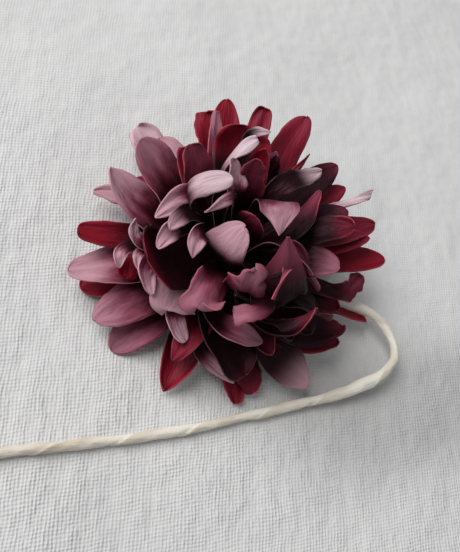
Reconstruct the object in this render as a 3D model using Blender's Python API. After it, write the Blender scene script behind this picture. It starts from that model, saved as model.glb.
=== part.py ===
"""Cloth flower corsage: rounds of burgundy petals threaded on a bound wire stem.

The bloom is twelve cut cloth rounds stacked on one wire. The lowest rounds spread flat as a skirt
and each one above is cupped more steeply, up to the three petals that close the crown. The wire
is turned over in a small eye above the last round, runs down through every hub, through the
binding that carries them, and out to one side as a long stem wound with ivory tape.

Lengths in this file are millimetres and angles are degrees, measured from the bloom's own axis
with the surface at height 0. Every mesh is written in metres. At the end the whole corsage is
moved so that the middle of its base is the origin.
"""

import math

import bmesh
import bpy
from mathutils import Vector

MM = 0.001

# Fit between neighbouring pieces
GAP = 0.3

# The stem: a wire core inside a wound tape
WIRE_RADIUS = 0.6
WIRE_SIDES = 6
WRAP_BORE = WIRE_RADIUS + GAP
WRAP_SIDES = 10
STATION_STEP = 5.0
BEND_STEP = 0.9
BEND_SPANS = 4
FOLDED_END = 1.2
FOLDED_SHARE = 0.6

# The petal rounds
LOWEST_SEAT = 7.5
SEAT_PITCH = 1.0
HUB_THICKNESS = SEAT_PITCH - GAP
HUB_BORE = WIRE_RADIUS + GAP
HUB_RADIUS = 4.7
HUB_TAPER = 0.0185
LIFT_STEP = 7.0
CLOTH = 0.4
PETAL_STATIONS = 7
BASE_HALF_WIDTH = 0.8
SHOULDER = 0.62
SWELL_POWER = 1.6
TIP_POWER = 2.3
TIP_SHARE = 0.22
SPREAD = 0.45
FILLER_STEP = 30.0
HANDLE = 0.38
CURL_HANDLE = 0.17

# The binding under the lowest round
BINDING_TOP = LOWEST_SEAT - HUB_THICKNESS / 2 - GAP
BINDING_BOTTOM = 5.4
BINDING_SIDES = 20
BINDING_PROFILE = (
    (HUB_BORE, BINDING_BOTTOM),
    (1.9, BINDING_BOTTOM),
    (2.9, BINDING_BOTTOM + 0.7),
    (3.4, BINDING_TOP - 0.3),
    (3.2, BINDING_TOP),
    (HUB_BORE, BINDING_TOP),
)

# The wire's eye, which stops the rounds from sliding off: it turns this way from the axis
EYE_RADIUS = 1.5
EYE_DIRECTION = 60.0
EYE_START = -95.0
EYE_POINTS = 12

# Each round from the lowest up. A petal is its direction, how far its tip reaches from the axis,
# how high the tip rises, how steeply it points there (over 90 it curls back in), and its width.
ROUNDS = (
    (
        (-163, 38, 1, -20, 9), (-136, 39, 0.4, -18, 9), (-82, 39, 0.4, -16, 9), (-18, 46, 6, -5, 8),
        (14, 42, 3, -14, 9), (42, 41, 0.6, -18, 9), (72, 41, 0.6, -18, 9), (100, 41, 2, -16, 9),
        (124, 46, 10, 0, 10), (155, 40, 5, -5, 9),
    ),
    (
        (-148, 40, 5, -12, 10), (-113, 40, 1.5, -12, 9), (-73, 38, 6, -10, 8), (-29, 41, 8, 0, 9),
        (28, 43, 12, 0, 9), (56, 43, 12, 0, 9), (86, 43, 13, 0, 9), (112, 40, 15, 10, 10),
        (140, 40, 12, 5, 9),
    ),
    (
        (-166, 43, 8, -5, 10), (-115, 34, 12, -10, 8), (-56, 43, 8, 0, 10), (-12, 43, 13, 5, 9),
        (40, 44, 20, 10, 9), (89, 45, 23, 20, 10), (155, 39, 18, 10, 11),
    ),
    (
        (-118, 33, 18, 0, 8), (-94, 34, 13, 0, 9), (-43, 37, 10, -5, 9), (3, 47, 20, 12, 9),
        (54, 42, 23, 20, 9), (105, 40, 22, 25, 9), (138, 37, 25, 30, 11), (180, 41, 13, 0, 8),
    ),
    (
        (-168, 32, 19, 40, 8), (-138, 30, 19, 10, 8), (-84, 29, 21, 10, 10), (-60, 36, 14, 5, 9),
        (-27, 39, 15, 5, 9), (12, 41, 23, 20, 9), (79, 40, 27, 28, 8), (104, 37, 27, 40, 8),
    ),
    (
        (-160, 29, 24, 50, 8), (-122, 30, 22, 10, 10), (-90, 25, 28, 20, 9), (-45, 36, 19, 10, 9),
        (-8, 39, 23, 15, 8), (24, 44, 27, 15, 8), (66, 44, 30, 25, 10), (124, 31, 25, 40, 8),
        (176, 30, 23, 50, 8),
    ),
    (
        (-149, 30, 27, 60, 8), (-112, 23, 30, 45, 9), (-58, 32, 25, 20, 9), (-34, 34, 27, 25, 8),
        (14, 40, 28, 22, 9), (66, 29, 36, 50, 8), (92, 37, 31, 40, 8), (136, 26, 32, 48, 8),
    ),
    (
        (-171, 21, 30, 115, 8), (-142, 21, 34, 90, 8), (-92, 18, 36, 60, 9), (-46, 28, 32, 40, 9),
        (32, 38, 30, 28, 9), (111, 28, 34, 50, 8), (161, 20, 33, 95, 9),
    ),
    (
        (-163, 18, 35, 115, 8), (-70, 14, 37, 80, 8), (-27, 25, 33, 22, 9), (18, 34, 32, 30, 8),
        (42, 37, 32, 30, 8), (96, 21, 37, 80, 8), (150, 10, 38, 140, 9),
    ),
    (
        (-155, 15, 37, 110, 8), (-1, 26, 36, 32, 9), (42, 30, 36, 50, 8), (80, 18, 38, 85, 7),
        (105, 13, 40, 95, 7), (170, 7, 41, 110, 7),
    ),
    (
        (-127, 10, 41, 130, 10), (-50, 11, 40, 85, 8), (37, 25, 39, 60, 8), (95, 6, 42, 95, 7),
    ),
    (
        (-95, 5, 42, 95, 7), (-20, 8, 42, 100, 7), (140, 5, 42, 90, 7),
    ),
)

# The stem's middle line from the binding outwards, with the wound tape's radius there
STEM_ROUTE = (
    (0.0, 0.0, 4.9, 1.7),
    (0.1, 0.0, 4.2, 1.7),
    (0.9, -0.1, 3.0, 1.7),
    (2.4, -0.4, 2.3, 1.7),
    (4.5, -0.7, 2.2, 1.7),
    (9.0, -1.4, 2.5, 1.7),
    (20.0, -3.4, 3.0, 1.7),
    (32.0, -5.4, 4.0, 1.75),
    (41.9, -6.6, 5.0, 1.75),
    (47.1, -7.6, 5.2, 1.65),
    (51.5, -9.7, 5.5, 1.4),
    (55.0, -13.6, 5.8, 1.2),
    (57.1, -18.7, 5.8, 1.15),
    (56.4, -23.2, 5.4, 1.25),
    (52.3, -27.6, 4.8, 1.55),
    (46.7, -30.8, 4.0, 1.7),
    (38.5, -34.2, 3.0, 1.5),
    (25.9, -37.8, 2.2, 1.3),
    (16.5, -40.5, 1.8, 1.25),
    (4.7, -43.7, 1.5, 1.15),
    (-3.9, -46.1, 1.4, 1.15),
    (-17.5, -49.2, 1.4, 1.3),
    (-30.3, -51.5, 1.4, 1.2),
    (-42.4, -53.4, 1.4, 1.3),
    (-53.9, -55.4, 1.4, 1.3),
    (-66.0, -57.6, 1.4, 1.25),
    (-78.0, -60.0, 1.4, 1.3),
)


def clear_scene():
    for item in list(bpy.data.objects):
        bpy.data.objects.remove(item)


def finish_material(name, colour, roughness, metallic=0.0):
    material = bpy.data.materials.new(name)
    material.use_nodes = True
    shader = material.node_tree.nodes["Principled BSDF"]
    shader.inputs["Base Color"].default_value = (*colour, 1.0)
    shader.inputs["Roughness"].default_value = roughness
    shader.inputs["Metallic"].default_value = metallic
    return material


def add_object(name, bm, material):
    bmesh.ops.recalc_face_normals(bm, faces=bm.faces)
    mesh = bpy.data.meshes.new(name)
    bm.to_mesh(mesh)
    bm.free()
    mesh.shade_smooth()
    mesh.materials.append(material)
    piece = bpy.data.objects.new(name, mesh)
    bpy.context.scene.collection.objects.link(piece)
    return piece


def polar(angle, radius, height):
    return Vector((radius * math.cos(angle), radius * math.sin(angle), height)) * MM


# ---------------------------------------------------------------- tubes along a line


def smooth_line(points, steps):
    """A Catmull-Rom curve through the points, in the given number of steps per span."""
    ends = [points[0] * 2 - points[1]] + list(points) + [points[-1] * 2 - points[-2]]
    line = []
    for (a, b, c, d), count in zip(zip(ends, ends[1:], ends[2:], ends[3:]), steps):
        for k in range(count):
            t = k / count
            line.append(
                b
                + (c - a) * (t / 2)
                + (a * 2 - b * 5 + c * 4 - d) * (t * t / 2)
                + (b * 3 - a - c * 3 + d) * (t**3 / 2)
            )
    line.append(points[-1].copy())
    return line


def directions(line):
    steps = [b - a for a, b in zip(line, line[1:])]
    middle = [(a.normalized() + b.normalized()).normalized() for a, b in zip(steps, steps[1:])]
    return [steps[0].normalized()] + middle + [steps[-1].normalized()]


def tube_rings(bm, line, radii, sides):
    """One ring of vertices at each point, carried along the line without twisting."""
    along = directions(line)
    across = along[0].orthogonal().normalized()
    rings = []
    for point, way, radius in zip(line, along, radii):
        across = (across - way * across.dot(way)).normalized()
        other = way.cross(across)
        ring = []
        for k in range(sides):
            turn = math.tau * k / sides
            offset = (across * math.cos(turn) + other * math.sin(turn)) * radius
            ring.append(bm.verts.new((point + offset) * MM))
        rings.append(ring)
    return rings


def skin(bm, first, second):
    count = len(first)
    for k in range(count):
        n = (k + 1) % count
        bm.faces.new((first[k], first[n], second[n], second[k]))


def skin_all(bm, rings):
    for first, second in zip(rings, rings[1:]):
        skin(bm, first, second)


def solid_tube(bm, line, radii, sides):
    rings = tube_rings(bm, line, radii, sides)
    skin_all(bm, rings)
    bm.faces.new(rings[0])
    bm.faces.new(rings[-1])


def stem_stations():
    """The stem's smooth middle line and the tape's radius at each of its points."""
    points = [Vector(row[:3]) for row in STEM_ROUTE]
    steps = []
    for index, (a, b) in enumerate(zip(points, points[1:])):
        step = BEND_STEP if index < BEND_SPANS else STATION_STEP
        steps.append(max(1, round((b - a).length / step)))
    line = smooth_line(points, steps)
    radii = []
    for (a, b), count in zip(zip(STEM_ROUTE, STEM_ROUTE[1:]), steps):
        radii += [a[3] + (b[3] - a[3]) * k / count for k in range(count)]
    radii.append(STEM_ROUTE[-1][3])
    return line, radii


def make_stem_wrap(material):
    """The wound tape: open under the binding, folded shut over the wire's far end."""
    line, radii = stem_stations()
    fold = line[-1] + (line[-1] - line[-2]).normalized() * FOLDED_END
    bm = bmesh.new()
    outer = tube_rings(bm, line + [fold], radii + [radii[-1] * FOLDED_SHARE], WRAP_SIDES)
    inner = tube_rings(bm, line, [WRAP_BORE] * len(line), WRAP_SIDES)
    skin_all(bm, outer)
    skin_all(bm, inner)
    skin(bm, outer[0], inner[0])
    bm.faces.new(outer[-1])
    bm.faces.new(inner[-1])
    return add_object("stem_wrap", bm, material)


def wire_eye():
    """A turned-over loop beside the axis, from its cut end round to the top of the straight shank."""
    last_hub = LOWEST_SEAT + SEAT_PITCH * (len(ROUNDS) - 1) + HUB_THICKNESS / 2
    height = last_hub + GAP + WIRE_RADIUS + EYE_RADIUS
    facing = math.radians(EYE_DIRECTION)
    loop = []
    for k in range(EYE_POINTS):
        turn = math.radians(EYE_START + (180.0 - EYE_START) * k / (EYE_POINTS - 1))
        out = EYE_RADIUS * (1.0 + math.cos(turn))
        rise = EYE_RADIUS * math.sin(turn)
        loop.append(Vector((out * math.cos(facing), out * math.sin(facing), height + rise)))
    return loop


def make_stem_wire(material):
    """The wire core: the eye over the last round, down through the hubs and along inside the tape."""
    tape_line, _radii = stem_stations()
    shank = [
        Vector((0.0, 0.0, LOWEST_SEAT + SEAT_PITCH * len(ROUNDS) / 2)),
        Vector((0.0, 0.0, LOWEST_SEAT)),
    ]
    line = wire_eye() + shank + tape_line[:-1]
    bm = bmesh.new()
    solid_tube(bm, line, [WIRE_RADIUS] * len(line), WIRE_SIDES)
    return add_object("stem_wire", bm, material)


def make_binding(material):
    """The wound collar that the lowest round sits on, turned about the wire."""
    bm = bmesh.new()
    rings = []
    for radius, height in BINDING_PROFILE:
        turns = [math.tau * k / BINDING_SIDES for k in range(BINDING_SIDES)]
        rings.append([bm.verts.new(polar(turn, radius, height)) for turn in turns])
    skin_all(bm, rings + [rings[0]])
    return add_object("calyx_binding", bm, material)


# ---------------------------------------------------------------- petals


def midrib(seat, hub, lift, reach, rise, end_lift):
    """A cubic curve in the petal's upright plane: places and directions from hub to tip."""
    start, end = Vector((hub, seat)), Vector((reach, rise))
    chord = (end - start).length
    curl = CURL_HANDLE * max(0.0, end_lift - 90.0) / 50.0
    out = Vector((math.cos(math.radians(lift)), math.sin(math.radians(lift))))
    back = Vector((math.cos(math.radians(end_lift)), math.sin(math.radians(end_lift))))
    p1 = start + out * (chord * HANDLE)
    p2 = end - back * (chord * (HANDLE + curl))
    stations = []
    for k in range(PETAL_STATIONS):
        u = math.sin(math.pi / 2 * k / (PETAL_STATIONS - 1))
        v = 1 - u
        place = start * v**3 + p1 * (3 * v * v * u) + p2 * (3 * v * u * u) + end * u**3
        way = (p1 - start) * (v * v) + (p2 - p1) * (2 * v * u) + (end - p2) * (u * u)
        stations.append((u, place, way.normalized()))
    return stations


def half_width(u, width):
    """Narrow at the hub, full at the shoulder, rounded off at the tip."""
    grow = math.sin(min(u / SHOULDER, 1.0) * math.pi / 2) ** SWELL_POWER
    past = max(0.0, (u - SHOULDER) / (1.0 - SHOULDER))
    body = BASE_HALF_WIDTH + (width / 2 - BASE_HALF_WIDTH) * grow
    return body * max(TIP_SHARE, (1.0 - past**TIP_POWER) ** (1 / TIP_POWER))


def neighbour_room(azimuths, index):
    """Half-angle that the petal may spread to, as a share of the way to its nearest neighbour."""
    here = azimuths[index]
    apart = [abs((here - other + 180) % 360 - 180) for k, other in enumerate(azimuths) if k != index]
    return math.radians(min(apart)) * SPREAD


def add_petal(bm, root, azimuth, stations, width, room):
    """Carry the hub's three top and three bottom corners out along the midrib as a thin tongue."""
    middle = math.radians(azimuth)
    lower, upper = root
    for u, place, way in stations[1:]:
        radius, height = place
        spread = min(half_width(u, width) / max(radius, 1.0), room)
        normal = Vector((-way.y, way.x)) * (CLOTH / 2)
        next_lower = []
        next_upper = []
        for side in (-1, 0, 1):
            angle = middle + side * spread
            next_lower.append(bm.verts.new(polar(angle, radius - normal.x, height - normal.y)))
            next_upper.append(bm.verts.new(polar(angle, radius + normal.x, height + normal.y)))
        for k in (0, 1):
            bm.faces.new((upper[k], upper[k + 1], next_upper[k + 1], next_upper[k]))
            bm.faces.new((lower[k + 1], lower[k], next_lower[k], next_lower[k + 1]))
        bm.faces.new((lower[0], upper[0], next_upper[0], next_lower[0]))
        bm.faces.new((upper[2], lower[2], next_lower[2], next_upper[2]))
        lower, upper = next_lower, next_upper
    for k in (0, 1):
        bm.faces.new((lower[k], upper[k], upper[k + 1], lower[k + 1]))


def make_round(index, petals, material):
    """One cut cloth round: a hub with a hole for the wire, and its petals in one piece with it."""
    seat = LOWEST_SEAT + SEAT_PITCH * index
    hub = HUB_RADIUS - HUB_TAPER * index * index
    lift = LIFT_STEP * index
    azimuths = [petal[0] for petal in petals]
    rooms = [neighbour_room(azimuths, k) for k in range(len(petals))]
    roots = [min(BASE_HALF_WIDTH / hub, room) for room in rooms]
    middles = [math.radians(azimuth) for azimuth in azimuths]
    corners = []
    for k, middle in enumerate(middles):
        corners += [(middle - roots[k], k, 0), (middle, k, 1), (middle + roots[k], k, 2)]
        after = (k + 1) % len(petals)
        start = middle + roots[k]
        arc = (middles[after] - roots[after] - start) % math.tau
        fillers = int(arc / math.radians(FILLER_STEP))
        for j in range(1, fillers + 1):
            corners.append((start + arc * j / (fillers + 1), None, None))

    bm = bmesh.new()
    half = HUB_THICKNESS / 2
    inner_low, inner_high, outer_low, outer_high = [], [], [], []
    for angle, _petal, _corner in corners:
        inner_low.append(bm.verts.new(polar(angle, HUB_BORE, seat - half)))
        inner_high.append(bm.verts.new(polar(angle, HUB_BORE, seat + half)))
        outer_low.append(bm.verts.new(polar(angle, hub, seat - half)))
        outer_high.append(bm.verts.new(polar(angle, hub, seat + half)))
    count = len(corners)
    for k in range(count):
        n = (k + 1) % count
        bm.faces.new((inner_high[k], outer_high[k], outer_high[n], inner_high[n]))
        bm.faces.new((inner_low[n], outer_low[n], outer_low[k], inner_low[k]))
        bm.faces.new((inner_low[k], inner_high[k], inner_high[n], inner_low[n]))
        in_petal = corners[k][1] is not None and corners[k][2] < 2
        if not in_petal:
            bm.faces.new((outer_low[k], outer_low[n], outer_high[n], outer_high[k]))
    for k, (azimuth, reach, rise, end_lift, width) in enumerate(petals):
        first = next(j for j, corner in enumerate(corners) if corner[1] == k)
        root = (outer_low[first : first + 3], outer_high[first : first + 3])
        stations = midrib(seat, hub, lift, reach, rise, end_lift)
        add_petal(bm, root, azimuth, stations, width, rooms[k])
    return add_object(f"petal_round_{index + 1:02d}", bm, material)


# ---------------------------------------------------------------- whole corsage


def centre_on_base(pieces):
    """Move every mesh so that the middle of the whole box's underside is the origin."""
    corners = [vertex.co for piece in pieces for vertex in piece.data.vertices]
    low = Vector([min(corner[axis] for corner in corners) for axis in range(3)])
    high = Vector([max(corner[axis] for corner in corners) for axis in range(3)])
    shift = Vector((-(low.x + high.x) / 2, -(low.y + high.y) / 2, -low.z))
    for piece in pieces:
        for vertex in piece.data.vertices:
            vertex.co += shift


def main():
    clear_scene()
    petal_cloth = finish_material("petal_cloth", (0.16, 0.02, 0.04), 0.75)
    stem_tape = finish_material("stem_tape", (0.78, 0.71, 0.56), 0.8)
    wire_steel = finish_material("wire_steel", (0.55, 0.55, 0.55), 0.35, 1.0)
    pieces = [
        make_stem_wire(wire_steel),
        make_stem_wrap(stem_tape),
        make_binding(stem_tape),
    ]
    for index, petals in enumerate(ROUNDS):
        pieces.append(make_round(index, petals, petal_cloth))
    centre_on_base(pieces)


main()
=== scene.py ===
"""Looks for a handmade cloth flower corsage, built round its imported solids.

The bloom is twelve rounds of cut cloth, each a hub with a ring of petals, threaded on a wire whose
stem is wound with ivory tape. Each petal is a surface worked out from its midrib, its width, its
cup and its twist, and is given the cloth's thickness afterwards. The script is laid out as an
add-on: the sizes and colours are properties, each group of pieces has its operator, and main()
runs them all in order.

Lengths in the tables are millimetres, measured from the bloom's own axis with the surface at
height 0, and angles are degrees. Every mesh is written in metres in the frame of the solids.
"""

import bpy
import numpy as np
from bpy.props import FloatProperty, FloatVectorProperty, IntProperty, PointerProperty
from mathutils import Matrix, Vector


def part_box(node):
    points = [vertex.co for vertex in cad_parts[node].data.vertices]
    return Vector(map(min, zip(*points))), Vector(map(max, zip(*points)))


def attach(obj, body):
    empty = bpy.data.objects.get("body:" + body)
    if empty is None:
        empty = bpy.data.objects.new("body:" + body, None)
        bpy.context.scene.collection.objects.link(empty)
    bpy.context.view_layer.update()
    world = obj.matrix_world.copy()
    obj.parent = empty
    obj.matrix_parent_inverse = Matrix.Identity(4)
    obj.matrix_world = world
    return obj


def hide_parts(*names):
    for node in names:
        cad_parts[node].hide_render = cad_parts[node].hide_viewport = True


bl_info = {
    "name": "Cloth Flower Corsage",
    "version": (1, 0, 0),
    "blender": (4, 5, 0),
    "location": "3D View > Sidebar > Corsage",
    "description": "Cut cloth petals, a taped wire stem and a linen-floored studio for the corsage",
    "category": "Object",
}

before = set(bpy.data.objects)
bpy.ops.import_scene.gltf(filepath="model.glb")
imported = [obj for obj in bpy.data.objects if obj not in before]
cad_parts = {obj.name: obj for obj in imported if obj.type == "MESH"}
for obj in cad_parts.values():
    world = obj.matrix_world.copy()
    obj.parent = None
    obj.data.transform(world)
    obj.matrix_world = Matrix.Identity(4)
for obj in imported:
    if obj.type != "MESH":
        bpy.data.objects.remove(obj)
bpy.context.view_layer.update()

MM = 0.001
BINDING_LOW, BINDING_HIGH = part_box("calyx_binding")
AXIS = np.array([(BINDING_LOW.x + BINDING_HIGH.x) / 2, (BINDING_LOW.y + BINDING_HIGH.y) / 2, 0.0])

# The stack of rounds on the wire: the lowest seat lies just over the binding, and each round's
# hub is smaller and its petals leave more steeply than the ones below
SEAT_PITCH = 1.0
SEAT_OVER_BINDING = 0.65
LOWEST_SEAT = BINDING_HIGH.z / MM + SEAT_OVER_BINDING
HUB_RADIUS = 4.7
HUB_TAPER = 0.0185
HUB_BORE = 0.9
HUB_OVERLAP = 0.4
HUB_ROWS = 5
HUB_COLUMNS = 48
LIFT_STEP = 7.0

# A petal's surface: how far the directions at its ends reach, its width, its roll and its waves,
# its least height over the floor, and how far the painted shade of its dark root spreads
HANDLE = 0.38
CURL_HANDLE = 0.17
ROOT_HALF_WIDTH = 1.3
SWELL_POWER = 1.3
LEAST_WIDTH_SHARE = 0.03
ROOT_CUP_SHARE = 0.35
RAGGED_FROM = 0.6
HOOK_FROM = 0.72
FRILL_WAVES = 1.6
SAG = 0.25
FLOOR_GAP = 0.25
PAINTED_SHADE_STRETCH = 1.25
PETAL_SEED = 12


def petal(azimuth, reach, rise, end_lift, width, yaw=0.0, twist=0.0, cup=22.0, tone=0.0,
          painted_shade_reach=0.0, lift=None, lean=0.0, push=HANDLE, pull=None, tip=2.2, shoulder=0.6, ragged=0.02,
          crease=0.0, hook=0.0, frill=0.5):
    """One petal: where its tip is, round, out and up from the axis, and how steeply it ends.

    It leaves the hub at azimuth + lean, climbing at lift, and ends along azimuth + yaw, climbing
    at end_lift; past 90 it curls back over the bloom. push and pull are the lengths of those two
    directions as shares of the distance. twist turns it about its midrib, and cup is the half-angle
    that it is rolled across its width. tip is blunt when high and pointed when low, and shoulder is
    how far along the midrib the petal is widest. crease folds it along its midrib and hook bends
    its end. ragged is how uneven its cut edges are and frill how far they wave. tone runs from deep
    red at -1 to pale pink at 1, a pink that is partly the cloth's own and partly painted sheen, and
    from 1 to 2 it adds a painted near-white highlight towards the tip. The shade reach is how far out
    along the petal the hub's dark colour runs, which is painted shade where the petal lies in the
    bloom's shade.
    """
    return dict(azimuth=azimuth, reach=reach, rise=rise, end_lift=end_lift, width=width, yaw=yaw,
                twist=twist, cup=cup, tone=tone, painted_shade_reach=painted_shade_reach, lift=lift, lean=lean, push=push, pull=pull,
                tip=tip, shoulder=shoulder, ragged=ragged, crease=crease, hook=hook, frill=frill)


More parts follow.
